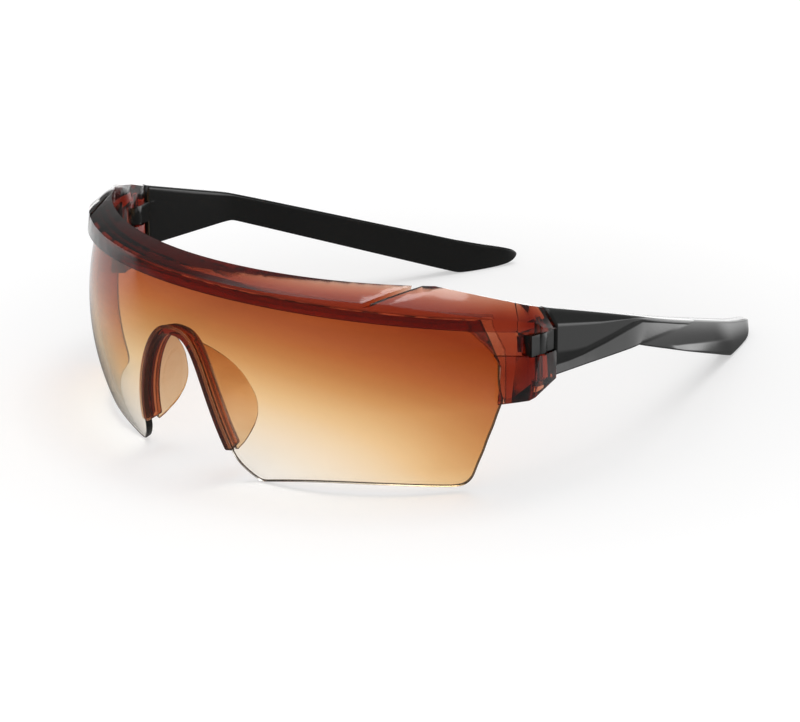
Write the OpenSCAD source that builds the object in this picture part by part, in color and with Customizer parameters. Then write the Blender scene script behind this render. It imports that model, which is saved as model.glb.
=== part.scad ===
/* [Shield lens] */
// Radius of the lens from side to side, as a share of the frame's half width
lens_wrap_share = 1.062; // [1.04:0.002:1.09]
// Radius of the lens from top to bottom
lens_r_down = 64; // [60:0.5:68]
// Thickness of the lens
lens_th = 1.8; // [1.6:0.1:2.0]
// Lean of the lens and brow toward the wearer, in degrees
lens_lean = 8; // [7:0.25:9]
// Height of the most forward line of the lens above the table
lens_front_z = 34.3; // [33:0.1:36]
// Distance of the lens's side edge inside the outer face of the end piece
lens_inset = 4.3; // [4:0.1:5]
// How far the outer corner of each lobe lies inside the lens's widest place
lens_foot_in = 7.6; // [6:0.1:9]
// Height above the table where the lens reaches its full width
lens_side_h = 23; // [22:0.5:26]
// Rise of the arched lower edge of each lobe between its two corners
lens_arch = 2.1; // [1:0.1:3]
// How much higher the outer corner of each lobe is than the inner one
lens_heel = 1.3; // [0.6:0.1:2]

/* [Nose notch] */
// Half width of the notch near the table
notch_half_w = 16.2; // [15:0.2:17]
// Height of the bridge, from the top of the notch to the brow's crest
bridge_h = 14.2; // [13.4:0.2:15]
// How far the inner corner of each lobe is rounded away, sideways
notch_flare = 4; // [3:0.2:5]
// Height of that rounded inner corner
notch_flare_h = 7; // [4:0.5:8]

/* [Nose piece] */
// Thickness of the nose piece's band
nose_th = 1.3; // [1.1:0.1:1.6]
// Depth of the band behind the front face of the lens
nose_band_d = 4.2; // [3.8:0.1:5]
// Height of the band's lower ends above the table
nose_low = 6; // [5.5:0.25:7]
// How far the band's channel reaches over the lens
nose_lip = 0.8; // [0.6:0.1:1]
// How far the channel's front lip stands proud of the lens
nose_proud = 0.5; // [0.4:0.1:0.7]
// Depth of the leaf pads behind the front face of the lens
nose_pad_d = 14.3; // [12:0.1:16]
// Thickness of the leaf pads
nose_pad_th = 1; // [0.8:0.1:1.2]

/* [Brow frame] */
// How far the brow's front lip stands out from the lens's widest radius
brow_proud = 1.3; // [1.1:0.1:1.6]
// Depth of the brow from front to back
brow_d = 5.3; // [5:0.1:5.8]
// Height of the brow's lower edge above the most forward line of the lens
brow_low = 10.6; // [10:0.2:11.4]
// How far the lens goes up into the brow
brow_grip = 2.4; // [2:0.1:2.8]
// Height of the brow's front lip, from its lower edge to the crest
brow_h = 3; // [2.6:0.1:3.4]
// Lean of the brow's top surface, in degrees
crest_lean = 3.2; // [2.5:0.1:4]
// Rise of the brow's top surface for each millimetre toward the wearer
crest_slope_share = 0.58; // [0.5:0.02:0.64]
// How much higher the outer top facet would meet the middle than the crest does
facet_rise = 2.6; // [2.2:0.1:3]
// Lean of that outer facet, in degrees
facet_lean = 12.3; // [11.5:0.1:13]
// Rise of the outer facet for each millimetre toward the wearer
facet_slope_share = 1.1; // [1:0.02:1.16]
// Width of the slanted groove on the brow's top
groove_w = 0.9; // [0.6:0.1:1.2]
// Depth of that groove
groove_d = 0.7; // [0.4:0.1:0.9]

/* [End pieces] */
// Half width over the end pieces
end_half_w = 72.5; // [70:0.5:75]
// Height of the end pieces, from the level of the brow's crest down
end_h = 25.7; // [24.5:0.1:26.5]
// Rise of the lower edge for each millimetre toward the wearer, behind its corner
end_rise_share = 0.4; // [0.34:0.01:0.44]
// How far the lower tab stands proud of the lens
end_proud = 1.5; // [1.2:0.1:1.8]
// Height of the tab's top above the most forward line of the lens
tab_top = 4.9; // [4.5:0.1:5.3]
// How far the panel between tab and brow stands proud of the lens
panel_proud = 0.6; // [0.5:0.1:0.9]

/* [Hinges] */
// Distance of each hinge screw inside the outer face of the end piece
hinge_inset = 3.1; // [3:0.1:3.3]
// Distance of the hinge screws behind the front face of the lens beside them
hinge_behind = 5.3; // [5:0.1:6]
// Radius of the hinge screw's shank
screw_r = 0.8; // [0.7:0.05:0.9]
// Running gap between the shank and the temple's tongue
screw_gap = 0.06; // [0.03:0.01:0.08]
// Radius of the screw's head
screw_head_r = 1.6; // [1.4:0.1:1.8]
// Height of the screw's head
screw_head_h = 1.2; // [1:0.1:1.4]
// Height of the temple's tongue
tongue_h = 5.2; // [4.6:0.1:5.4]
// Depth of the tongue's underside below the level of the brow's crest
tongue_drop = 15.3; // [15:0.1:15.6]
// How far the tongue's outer lug reaches ahead of the screw
tongue_lug = 4; // [3.6:0.1:5.2]
// Gap on each side of the tongue inside the clevis
tongue_gap = 0.1; // [0.08:0.02:0.16]
// Radius of the rounded inner side of the clevis
knuckle_r = 3.5; // [3.3:0.1:3.6]

/* [Temples] */
// Height of the temple at its front shoulder
temple_front_h = 16; // [15:0.25:16.5]
// Height of the temple at the narrow place behind the hinge
temple_neck_h = 7.3; // [6.5:0.25:8]
// Height of the temple near its tip
temple_tip_h = 9.4; // [8.5:0.25:10]
// Distance from the hinge back to the narrow place
temple_neck_back = 34.7; // [32:0.5:37]
// Distance from the hinge back to the tip
temple_back = 115; // [105:0.5:120]
// Thickness of the temple at its front shoulder
temple_front_th = 5.6; // [5.2:0.1:5.8]
// Thickness of the temple from the narrow place back
temple_th = 4; // [3.6:0.1:4.4]
// Slope at which the temple runs inward toward its tip
temple_bow_share = 0.4; // [0.34:0.01:0.42]
// Fall of the temple's top edge for each millimetre from the shoulder to the narrow place
temple_fall_share = 0.307; // [0.29:0.005:0.32]
// Tip of the resting glasses toward their lens, in degrees
rest_tilt = 0.7; // [0.4:0.1:1]

/* [Hidden] */
$fn = 96;

// Overrun of cuts past the faces they open
over = 1;
// Clearance between the lens and the walls of its slot
slot_gap = 0.05;
// Clearance of the frame's bores and counterbores round the screws
bore_gap = 0.03;
// Gap between the temple's shoulder and the end piece it stops against
stop_gap = 0.1;
// Distance from the hinge screw back to the end piece's stop face
stop_back = 4;
// Radius of the tongue's rounded inner end
tongue_front = 2.9;
// Gap ahead of the tongue, inside the clevis
tongue_room = 0.3;
// Half width of the tongue's root, as a share of that radius
tongue_root_share = 0.85;
// How far the tongue's root goes back into the temple's shoulder
tongue_root = 2;
// How far the thick rear of the end piece reaches ahead of the hinge screw
knuckle_ahead = 12;
// Height of the screw head's seat above the end piece's lower edge
seat_up = 3.7;
// How far the screw goes up into the upper side of the clevis
screw_grip = 2.8;
// Depth of each of the two outer steps on the temple, and the length of the rear one's slant
temple_step = 0.5;
step_run = 19;
// Width and depth of the screwdriver slot
driver_w = 0.4;
driver_d = 0.5;

// Steps along the curved outlines
steps = 24;
// Shape of the notch, as a power of the way down
notch_share = 0.37;
// Inner corner of a lobe, as shares of the flare
lobe_shares = [[0.75, 0.04], [0.9, 0], [1.15, 0]];
// Heights to which the lens surface is drawn, as shares of its radius
reach_low_share = 0.72;
reach_top_share = 0.42;
// Turn of the view along which the lens's side edges and the end pieces are cut, in degrees
corner_turn = 45;
// Inner edge of each end piece in that view, as shares of the way out to the hinge and of the
// crest's height
window_shares = [[0.7, 1.3], [0.74, 0.87], [0.82, 0.826], [0.842, 0.789], [0.866, 0.747],
                 [0.887, 0.7], [0.903, 0.648], [0.901, 0.589], [0.897, 0.524], [0.885, 0.3]];
// Side edge of the lens in that view: the rounded lower corner and the hidden upper one
foot_shares = [[0.972, -0.2], [0.981, 0.003], [0.999, 0.052], [1.012, 0.112]];
corner_shares = [[1, 0.71], [0.96, 0.846], [0.93, 1.3]];
// Start of the groove on the brow's top, and its turn and rise in degrees
groove_shares = [0.65, 0.328, 0.983];
groove_turn = -22.3;
groove_rise = 11.8;
// Start of the bevel along the end piece's top, and its tilt and turn in degrees
bevel_shares = [1, 0.964, 0.829];
bevel_tilt = 49.5;
bevel_turn = 15.2;
// Turn of the temple's own top bevel, which runs out at the narrow place
temple_bevel_turn = 9;
// A point on the end piece's top line, and the line's fall
fall_shares = [1.056, 0.887];
fall_share = 0.34;
// Place of the lower edge's corner, as a share of the hinge's distance
low_corner_share = 0.906;
// Lower edge of the temple's raised front panel, as shares of the way from the shoulder to the
// narrow place and of the front height
cheek_shares = [[-0.1, 0.26], [0.1, 0.22], [0.32, 0.206], [0.594, 0.275], [0.863, 0.369],
                [1.09, 0.5]];
// Start and softness of the temple's inward bend
bend_start_share = 0.86;
bend_soft_share = 0.35;
// Where the temple's flat foot begins, as a share of its length behind the hinge
foot_share = 0.85;
// Start of the temple's rounded end, as a share of the length past where the foot begins
end_from_share = 0.45;
// That rounded end, as shares of what is left of the length and of the height there
end_shares = [[0.35, 0.02], [0.7, 0.08], [0.94, 0.2], [1, 0.31], [0.93, 0.4], [0.72, 0.5]];
// Side outline of a leaf pad, as shares of its depth and of the notch's height
leaf_shares = [[0.22, 0.905], [0.28, 0.858], [0.46, 0.802], [0.63, 0.748], [0.78, 0.692],
               [0.9, 0.63], [0.97, 0.563], [1, 0.49], [0.98, 0.428], [0.91, 0.362],
               [0.77, 0.3], [0.6, 0.25], [0.43, 0.208], [0.26, 0.18]];

lens_r_across = end_half_w * lens_wrap_share;
lens_half_w = end_half_w - lens_inset;
lens_foot_half_w = lens_half_w - lens_foot_in;
brow_r = lens_r_across + brow_proud;
brow_top = brow_low + brow_grip;
crest_z = lens_front_z + brow_low + brow_h;
notch_h = crest_z - bridge_h;
end_low = crest_z - end_h;
tongue_z = crest_z - tongue_drop;
head_seat_z = end_low + seat_up;
screw_top_z = tongue_z + tongue_h + screw_grip;
hinge_x = end_half_w - hinge_inset;
hinge_y = lens_y(hinge_x, tongue_z) + hinge_behind;
hinge_s = hinge_x * cos(corner_turn) + hinge_y * sin(corner_turn);
far = end_half_w + over;
back_y = hinge_y + temple_back;
shoulder_y = hinge_y + stop_back + stop_gap;
neck_y = hinge_y + temple_neck_back;
foot_y = hinge_y + temple_back * foot_share;
tail = back_y - foot_y;
rest_y = foot_y + tail * end_from_share / 2;
// Height of the table, in the frame's own space, below a place along the depth
function table_z(y) = (y - rest_y) * tan(rest_tilt);
lobe_low = table_z(lens_y(notch_half_w + notch_flare, 0) + lens_th);
// Depth of the resting glasses' foremost and rearmost points, and the middle between them
function rest_depth(y, z) = y * cos(rest_tilt) + z * sin(rest_tilt);
front_y = min([for (i = [0 : steps * 4]) let (z = notch_h * i / steps / 4)
        rest_depth(lens_y(max(0, notch_x(z) - nose_th), z) - nose_proud, z)]);
mid_y = (front_y + rest_depth(back_y, temple_tip_h * end_shares[3][1])) / 2;
// Height of the end piece's top line above the table at a place along the depth
function top_z(y) = crest_z * fall_shares[1] - fall_share * (y - hinge_y * fall_shares[0]);
// Half width of the notch at a height
function notch_x(z) = notch_half_w * pow(max(0, (notch_h - z) / (notch_h - lobe_low)), notch_share)
    + notch_flare * pow(max(0, 1 - (z - lobe_low) / notch_flare_h), 2);
// Depth of the lens's front face at a place, found by stepping the height on its own axis
function lens_rho(h) = lens_r_across - lens_r_down + sqrt(pow(lens_r_down, 2) - h * h);
function lens_sag(x, h) = lens_r_across - sqrt(pow(lens_rho(h), 2) - x * x);
function lens_h(x, z, h, left) = left == 0 ? h
    : lens_h(x, z, (z - lens_front_z) / cos(lens_lean) + lens_sag(x, h) * tan(lens_lean), left - 1);
function lens_y(x, z) = let (h = lens_h(x, z, 0, 5))
    lens_sag(x, h) * cos(lens_lean) + h * sin(lens_lean);
// Way out along the corner view to a place on the lens
function corner_s(x, z) = x * cos(corner_turn) + lens_y(x, z) * sin(corner_turn);

// Mirrors its children to both sides
module both_sides() {
    children();
    mirror([1, 0, 0]) children();
}

// Sets the drawing down as it rests, with the middle of its depth at the origin
module place() {
    translate([0, -mid_y, rest_y * sin(rest_tilt)]) rotate([-rest_tilt, 0, 0]) children();
}

// The leaning space of the lens, round the axis its front line turns about
module lens_space() {
    translate([0, lens_r_across * cos(lens_lean), lens_front_z - lens_r_across * sin(lens_lean)])
        rotate([-lens_lean, 0, 0]) children();
}

// Curved wall from a distance in front of the lens's front face to one behind it
module wall(front, back, top) {
    lens_space() rotate_extrude($fn = 240) intersection() {
        difference() {
            translate([lens_r_across - lens_r_down, 0]) circle(r = lens_r_down + front, $fn = 240);
            translate([lens_r_across - lens_r_down, 0]) circle(r = lens_r_down - back, $fn = 240);
        }
        translate([lens_r_across / 2, -lens_r_down * reach_low_share])
            square([lens_r_across, lens_r_down * reach_low_share + top]);
    }
}

// Extrudes a front view outline back from a depth to another
module front_view(points, from, to) {
    translate([0, to, 0]) rotate([90, 0, 0]) linear_extrude(to - from) polygon(points);
}

// Extrudes an outline drawn in the corner view, all the way through
module corner_view(points) {
    rotate([0, 0, corner_turn]) front_view(points, -hinge_s * 2, hinge_s * 2);
}

// Extrudes a side view outline across from one side to another
module side_view(points, from, to) {
    translate([from, 0, 0]) rotate([90, 0, 90]) linear_extrude(to - from) polygon(points);
}

// Everything on the outer side of a tilted plane through a point
module beyond(point, tilt, turn) {
    translate(point) rotate([0, 0, turn]) rotate([0, tilt, 0])
        translate([-end_half_w, -end_half_w, 0])
            cube([end_half_w * 2, end_half_w * 2, end_half_w]);
}

// A point on the notch edge: the top at 0, the lobe's foot at 1, and the other side below 0
function edge(f) = let (z = notch_h - (notch_h - lobe_low) * f * f) [sign(f) * notch_x(z), z];
// The same point moved into the opening by a distance
function edge_in(f, d) = let (t = edge(f + 1 / steps) - edge(f - 1 / steps), u = t / norm(t))
    edge(f) + d * [u[1], -u[0]];

// Half of the lens's lower outline in the front view, with a closing edge past its sides
function lens_points() = let (x = notch_half_w + notch_flare, w = lens_foot_half_w - x, half = concat(
    [for (i = [0 : steps]) edge(i / steps)],
    [for (i = [1 : steps]) let (t = i / steps)
        [x + w * t, lobe_low + lens_heel * t + lens_arch * 4 * t * (1 - t)]],
    [[lens_half_w + over, lobe_low + lens_heel], [lens_half_w + over, crest_z * 1.3]]))
    concat(half, [for (i = [len(half) - 1 : -1 : 1]) [-half[i][0], half[i][1]]]);

// The side edge of the lens in the corner view, closed on the far side
function lens_side_points() = let (foot = corner_s(lens_foot_half_w, 0),
                                   wide = corner_s(lens_half_w, lens_side_h)) concat(
    [for (p = foot_shares) [foot * p[0], lens_side_h * p[1]]],
    [[wide, lens_side_h]],
    [for (p = corner_shares) [wide * p[0], crest_z * p[1]]],
    [[-hinge_s * 2, crest_z * corner_shares[2][1]], [-hinge_s * 2, lens_side_h * foot_shares[0][1]]]);

module lens_solid(gap) {
    intersection() {
        wall(gap, lens_th + gap, brow_top);
        front_view(lens_points(), -lens_r_across, lens_r_across * cos(lens_lean));
        corner_view(lens_side_points());
        mirror([1, 0, 0]) corner_view(lens_side_points());
    }
}

module shield_lens() {
    color([0.78, 0.45, 0.2, 0.7]) place() lens_solid(0);
}

// Everything above a leaning cone that meets the brow's front lip at a height
module above_cone(z, lean, slope) {
    translate([0, brow_r * cos(lean), z - brow_r * sin(lean)])
        rotate([-lean, 0, 0]) rotate_extrude($fn = 240)
            polygon([[brow_r * 2, -brow_r * slope], [brow_r / 3, brow_r * 2 / 3 * slope],
                     [brow_r / 3, brow_r], [brow_r * 2, brow_r]]);
}

// Ring of the brow's depth, from a height above the lens's front line up
module brow_ring(low) {
    intersection() {
        lens_space() rotate_extrude($fn = 240)
            translate([brow_r - brow_d, low]) square([brow_d, brow_r]);
        translate([-end_half_w, -over * 2, 0])
            cube([end_half_w * 2, hinge_y + stop_back + over * 2, brow_r]);
    }
}

// What stands on the positive side, outward of the lens window, down to the end piece's foot
module end_space() {
    intersection() {
        corner_view(concat([for (p = window_shares) [p[0] * hinge_s, p[1] * crest_z]],
                           [[hinge_s * 2, 0], [hinge_s * 2, crest_z * window_shares[0][1]]]));
        side_view([[0, end_low], [hinge_y * low_corner_share, end_low],
                   [hinge_y * 2, end_low + hinge_y * (2 - low_corner_share) * end_rise_share],
                   [hinge_y * 2, crest_z * 2], [0, crest_z * 2]], 0, end_half_w);
    }
}

// One end piece, on the positive side, before the lens slot and the hinge are cut
module end_block() {
    intersection() {
        union() {
            intersection() {
                union() {
                    wall(panel_proud, lens_r_down / 3, brow_top);
                    wall(end_proud, lens_r_down / 3, tab_top);
                }
                union() {
                    brow_ring(-lens_r_down / 2);
                    translate([hinge_x, hinge_y, 0]) linear_extrude(crest_z * 2) {
                        circle(r = knuckle_r);
                        translate([-knuckle_r, -knuckle_ahead])
                            square([knuckle_r + hinge_inset, knuckle_ahead]);
                        square([hinge_inset, stop_back]);
                    }
                }
            }
            intersection() {
                wall(brow_proud, lens_r_down / 3, lens_r_down * reach_top_share);
                translate([hinge_x, hinge_y, 0]) {
                    translate([0, 0, tongue_z + tongue_h]) linear_extrude(crest_z) {
                        circle(r = knuckle_r);
                        translate([-knuckle_r, -knuckle_ahead / 2])
                            square([knuckle_r + hinge_inset, knuckle_ahead / 2]);
                        square([hinge_inset, stop_back]);
                    }
                }
            }
        }
        end_space();
    }
}

module top_cuts() {
    above_cone(crest_z, crest_lean, crest_slope_share);
    above_cone(crest_z + facet_rise, facet_lean, facet_slope_share);
    both_sides() {
        beyond([end_half_w * bevel_shares[0], hinge_y * bevel_shares[1], crest_z * bevel_shares[2]],
               bevel_tilt, bevel_turn);
        translate([end_half_w * groove_shares[0], hinge_y * groove_shares[1],
                   crest_z * groove_shares[2]])
            rotate([0, 0, groove_turn]) rotate([groove_rise, 0, 0])
                translate([-groove_w / 2, -brow_d, -groove_d]) cube([groove_w, brow_d * 4, brow_d]);
    }
    side_view([[0, top_z(0)], [hinge_y * 2, top_z(hinge_y * 2)],
               [hinge_y * 2, crest_z * 2], [0, crest_z * 2]], -far, far);
}

module clevis_cuts() {
    translate([hinge_x, hinge_y, 0]) {
        translate([0, 0, tongue_z - tongue_gap]) linear_extrude(tongue_h + tongue_gap * 2) {
            translate([-knuckle_r * 2, -tongue_front - tongue_room])
                square([knuckle_r * 4, tongue_front + stop_back * 2]);
            translate([-screw_r, -tongue_lug - tongue_room])
                square([knuckle_r * 2, tongue_lug + stop_back]);
        }
        cylinder(r = screw_r + bore_gap, h = screw_top_z + bore_gap);
        cylinder(r = screw_head_r + bore_gap * 2, h = head_seat_z);
        linear_extrude(crest_z * 2) difference() {
            union() {
                translate([-hinge_y, 0]) square([hinge_y, hinge_y]);
                translate([-hinge_y, -tongue_front - tongue_room])
                    square([hinge_y - knuckle_r, hinge_y]);
            }
            circle(r = knuckle_r);
        }
    }
}

module brow_frame() {
    color([0.42, 0.1, 0.05, 0.85]) place() difference() {
        union() {
            brow_ring(brow_low);
            both_sides() end_block();
        }
        lens_solid(slot_gap);
        top_cuts();
        both_sides() clevis_cuts();
    }
}

module hinge_screw() {
    translate([hinge_x, hinge_y, 0]) difference() {
        union() {
            translate([0, 0, head_seat_z - screw_head_h])
                cylinder(r = screw_head_r, h = screw_head_h);
            translate([0, 0, head_seat_z - screw_head_h])
                cylinder(r = screw_r, h = screw_top_z - head_seat_z + screw_head_h);
        }
        translate([-screw_head_r * 2, -driver_w / 2, head_seat_z - screw_head_h - over])
            cube([screw_head_r * 4, driver_w, driver_d + over]);
    }
}

module hinge_screw_left() { color("gainsboro") place() hinge_screw(); }
module hinge_screw_right() { color("gainsboro") place() mirror([1, 0, 0]) hinge_screw(); }

shoulder_top = top_z(shoulder_y);
neck_top = shoulder_top - temple_fall_share * (neck_y - shoulder_y);
neck_low = neck_top - temple_neck_h;
// Height of the temple's straight lower edge ahead of the narrow place
function low_z(y) = let (f = (y - shoulder_y) / (neck_y - shoulder_y))
    (shoulder_top - temple_front_h) * (1 - f) + neck_low * f;
// Inward shift of the temple at a place along the depth
function bow(y) = let (d = max(0, y - hinge_y - temple_neck_back * bend_start_share),
                       s = temple_neck_back * bend_soft_share)
    temple_bow_share * (sqrt(d * d + s * s) - s);
function temple_thick(y) = temple_th + (temple_front_th - temple_th)
    * max(0, (neck_y - y) / (neck_y - shoulder_y));

module temple_plan(step) {
    ys = [for (i = [0 : steps]) shoulder_y + (back_y - shoulder_y) * i / steps];
    linear_extrude(crest_z) polygon(concat(
        [for (y = ys) [end_half_w - bow(y) - step, y]],
        [for (i = [steps : -1 : 0]) [end_half_w - bow(ys[i]) - temple_thick(ys[i]), ys[i]]]));
}

module temple_side() {
    side_view(concat(
        [[shoulder_y, shoulder_top - temple_front_h], [shoulder_y, shoulder_top],
         [neck_y, neck_top], [foot_y, temple_tip_h]],
        [for (i = [len(end_shares) - 1 : -1 : 0])
            [foot_y + tail * (end_from_share + (1 - end_from_share) * end_shares[i][0]),
             end_shares[i][1] * temple_tip_h]],
        [[foot_y + tail * end_from_share, table_z(foot_y + tail * end_from_share)],
         [foot_y, table_z(foot_y)], [neck_y, neck_low]]),
        0, far);
}

module temple() {
    cheek = [for (p = cheek_shares) let (y = shoulder_y + (neck_y - shoulder_y) * p[0])
        [y, low_z(y) + temple_front_h * p[1]]];
    difference() {
        intersection() {
            translate([0, 0, table_z(0)]) union() {
                temple_plan(temple_step * 2);
                intersection() {
                    temple_plan(temple_step);
                    side_view([[shoulder_y, 0], [neck_y, neck_low],
                               [neck_y + step_run, neck_top], [neck_y + step_run, crest_z],
                               [shoulder_y, crest_z]], 0, far);
                }
                intersection() {
                    temple_plan(0);
                    side_view(concat(cheek, [[cheek[5][0], crest_z], [cheek[0][0], crest_z]]),
                              0, far);
                }
            }
            temple_side();
        }
        beyond([end_half_w, shoulder_y,
                crest_z * bevel_shares[2] - (shoulder_y - hinge_y * bevel_shares[1]) * fall_share],
               bevel_tilt, temple_bevel_turn);
    }
}

module tongue() {
    translate([hinge_x, hinge_y, tongue_z]) linear_extrude(tongue_h) {
        circle(r = tongue_front);
        translate([0, -tongue_lug])
            square([hinge_inset - temple_step, tongue_lug + stop_back + tongue_root]);
        translate([-tongue_front * tongue_root_share, 0])
            square([tongue_front * tongue_root_share + over, stop_back + tongue_root]);
    }
}

module temple_whole() {
    difference() {
        union() {
            temple();
            tongue();
        }
        translate([hinge_x, hinge_y, 0]) cylinder(r = screw_r + screw_gap, h = crest_z);
    }
}

module temple_left() { color([0.13, 0.13, 0.13]) place() temple_whole(); }
module temple_right() { color([0.13, 0.13, 0.13]) place() mirror([1, 0, 0]) temple_whole(); }

// Front view outline of a band along the notch edge, between two distances into the opening
function band_points(from, to, low) = let (end = sqrt((notch_h - low) / (notch_h - lobe_low))) concat(
    [for (i = [-steps : steps]) edge_in(end * i / steps, from)],
    [for (i = [steps : -1 : -steps]) edge_in(end * i / steps, to)]);

// One channel that clips on the notch edge, with a leaf pad behind each side
module nose_piece() {
    color([0.55, 0.3, 0.18, 0.8]) place() union() {
        difference() {
            intersection() {
                wall(nose_proud, nose_band_d, brow_low);
                front_view(band_points(-nose_lip, nose_th, nose_low), -hinge_y, hinge_y);
            }
            intersection() {
                wall(slot_gap, lens_th + slot_gap, brow_low + over);
                front_view(band_points(-nose_lip - over, slot_gap, nose_low - over),
                           -hinge_y, hinge_y);
            }
        }
        intersection() {
            front_view(band_points(nose_th - nose_pad_th, nose_th - slot_gap, nose_low),
                       -hinge_y, hinge_y);
            side_view(concat(
                [for (p = leaf_shares) let (z = p[1] * notch_h)
                    [lens_y(notch_x(z), z) + p[0] * nose_pad_d, z]],
                [for (i = [len(leaf_shares) - 1 : -1 : 0]) let (z = leaf_shares[i][1] * notch_h)
                    [lens_y(notch_x(z), z) + (lens_th + nose_band_d) / 2, z]]),
                -notch_half_w * 2, notch_half_w * 2);
        }
    }
}

brow_frame();
shield_lens();
nose_piece();
temple_left();
temple_right();
hinge_screw_left();
hinge_screw_right();
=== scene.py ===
import math
import bpy
import bmesh
import numpy as np
from mathutils import Matrix, Vector


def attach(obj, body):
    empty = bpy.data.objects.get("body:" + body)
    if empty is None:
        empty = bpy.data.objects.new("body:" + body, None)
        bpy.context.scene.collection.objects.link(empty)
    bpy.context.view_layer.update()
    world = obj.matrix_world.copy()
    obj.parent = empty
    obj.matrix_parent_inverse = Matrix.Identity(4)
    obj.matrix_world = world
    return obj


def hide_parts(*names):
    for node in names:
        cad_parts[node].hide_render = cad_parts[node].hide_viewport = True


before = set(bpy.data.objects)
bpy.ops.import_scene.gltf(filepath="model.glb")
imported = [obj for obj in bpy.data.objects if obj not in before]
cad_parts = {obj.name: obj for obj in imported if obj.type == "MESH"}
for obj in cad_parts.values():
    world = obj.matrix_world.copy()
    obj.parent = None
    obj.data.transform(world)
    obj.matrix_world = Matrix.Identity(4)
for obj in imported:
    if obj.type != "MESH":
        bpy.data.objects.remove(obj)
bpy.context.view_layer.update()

mm = 0.001
print("stage: frame loaded")

# how the glasses rest: tipped toward the lens, and slid back so that the middle of their depth is 0
rest = {"tip": 0.7, "middle": 82.0573, "pivot": 151.1375}   # degrees, mm, mm


def toWorld(p):
    # turns by the tip about X, shifts by the middle and the pivot's rise, and takes millimetres to metres
    a = math.radians(rest["tip"])
    c, s = math.cos(a), math.sin(a)
    return np.stack([p[..., 0], p[..., 1] * c + p[..., 2] * s - rest["middle"],
                     p[..., 2] * c - p[..., 1] * s + rest["pivot"] * s], -1) * mm


def linear(hexColour):
    # sRGB hex to linear, each channel through the standard curve
    c = [int(hexColour[i:i + 2], 16) / 255 for i in (1, 3, 5)]
    return tuple(x / 12.92 if x <= 0.04045 else ((x + 0.055) / 1.055) ** 2.4 for x in c) + (1.0,)


def addNode(tree, kind, values=None, links=None, **settings):
    # one node with its settings, socket values and incoming links
    n = tree.nodes.new(kind)
    for k, v in settings.items():
        setattr(n, k, v)
    for k, v in (values or {}).items():
        n.inputs[k].default_value = v
    for k, v in (links or {}).items():
        tree.links.new(v, n.inputs[k])
    return n


def between(tree, value, start, end, low=0.0, high=1.0, soft=False):
    # goes from low to high while the value goes from start to end, evenly or with soft ends
    n = addNode(tree, "ShaderNodeMapRange", {"From Min": start, "From Max": end, "To Min": low, "To Max": high},
                {"Value": value}, interpolation_type="SMOOTHSTEP" if soft else "LINEAR")
    return n.outputs[0]


def calculate(tree, operation, *terms, clamp=False):
    # a Math node; each term is a number or another node's output
    n = addNode(tree, "ShaderNodeMath", operation=operation, use_clamp=clamp)
    for i, term in enumerate(terms):
        if isinstance(term, (int, float)):
            n.inputs[i].default_value = term
        else:
            tree.links.new(term, n.inputs[i])
    return n.outputs[0]


def reachAlong(tree, place, direction):
    # how far a point or ray reaches along a direction
    n = addNode(tree, "ShaderNodeVectorMath", {1: direction}, {0: place}, operation="DOT_PRODUCT")
    return n.outputs["Value"]


def placeOf(tree, kind="Object"):
    # the point in metres or, for the surroundings, the ray's direction
    return addNode(tree, "ShaderNodeTexCoord").outputs[kind]


def axesOf(tree, place):
    return addNode(tree, "ShaderNodeSeparateXYZ", links={0: place}).outputs


def speckle(tree, place, scale, detail):
    n = addNode(tree, "ShaderNodeTexNoise", {"Scale": scale, "Detail": detail}, {"Vector": place})
    return n.outputs[0]


def blendTint(tree, share, first, second):
    return addNode(tree, "ShaderNodeMix", {6: linear(first), 7: linear(second)}, {0: share},
                   data_type="RGBA").outputs[2]


def ripple(tree, height, strength, distance):
    return addNode(tree, "ShaderNodeBump", {"Strength": strength, "Distance": distance},
                   {"Height": height}).outputs[0]


def newMaterial(name):
    m = bpy.data.materials.new(name)
    m.use_nodes = True
    m.node_tree.nodes.clear()
    return m, m.node_tree


def fillRamp(ramp, stops):
    # stops are (place, hex colour) pairs from 0 to 1
    e = ramp.color_ramp.elements
    while len(e) > 1:
        e.remove(e[-1])
    e[0].position, e[0].color = stops[0][0], linear(stops[0][1])
    for place, colour in stops[1:]:
        e.new(place).color = linear(colour)


def dressPiece(name, mesh, body, material, replaces=()):
    obj = bpy.data.objects.new(name, mesh)
    bpy.context.scene.collection.objects.link(obj)
    mesh.materials.clear()
    mesh.materials.append(material)
    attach(obj, body)
    if replaces:
        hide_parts(*replaces)
    return obj


def gridPiece(name, points, body, material, replaces=(), ring=False):
    # points is rows by columns by 3 in world metres: each row is a closed loop, and rows follow each other
    # along the piece. Quads join neighbours and the last column joins the first. In a ring the last row
    # joins the first too; otherwise a fan closes each end round the loop's middle.
    rows, cols = points.shape[:2]
    r, c = np.meshgrid(np.arange(rows if ring else rows - 1), np.arange(cols), indexing="ij")
    nextRow, nextCol = (r + 1) % rows * cols, (c + 1) % cols
    faces = np.stack([r * cols + c, r * cols + nextCol, nextRow + nextCol, nextRow + c], -1)
    faces = faces.reshape(-1, 4).tolist()
    verts = points.reshape(-1, 3)
    if not ring:
        k = len(verts)
        verts = np.vstack([verts, points[0].mean(0), points[-1].mean(0)])
        j = np.arange(cols)
        base = (rows - 1) * cols
        faces += np.stack([(j + 1) % cols, j, np.full(cols, k)], -1).tolist()
        faces += np.stack([base + j, base + (j + 1) % cols, np.full(cols, k + 1)], -1).tolist()
    mesh = bpy.data.meshes.new(name)
    mesh.from_pydata(verts.tolist(), [], faces)
    bm = bmesh.new()
    bm.from_mesh(mesh)
    bmesh.ops.recalc_face_normals(bm, faces=bm.faces)
    if bm.calc_volume(signed=True) < 0:
        bmesh.ops.reverse_faces(bm, faces=bm.faces)
    bm.to_mesh(mesh)
    bm.free()
    mesh.shade_smooth()
    return dressPiece(name, mesh, body, material, replaces)


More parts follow.
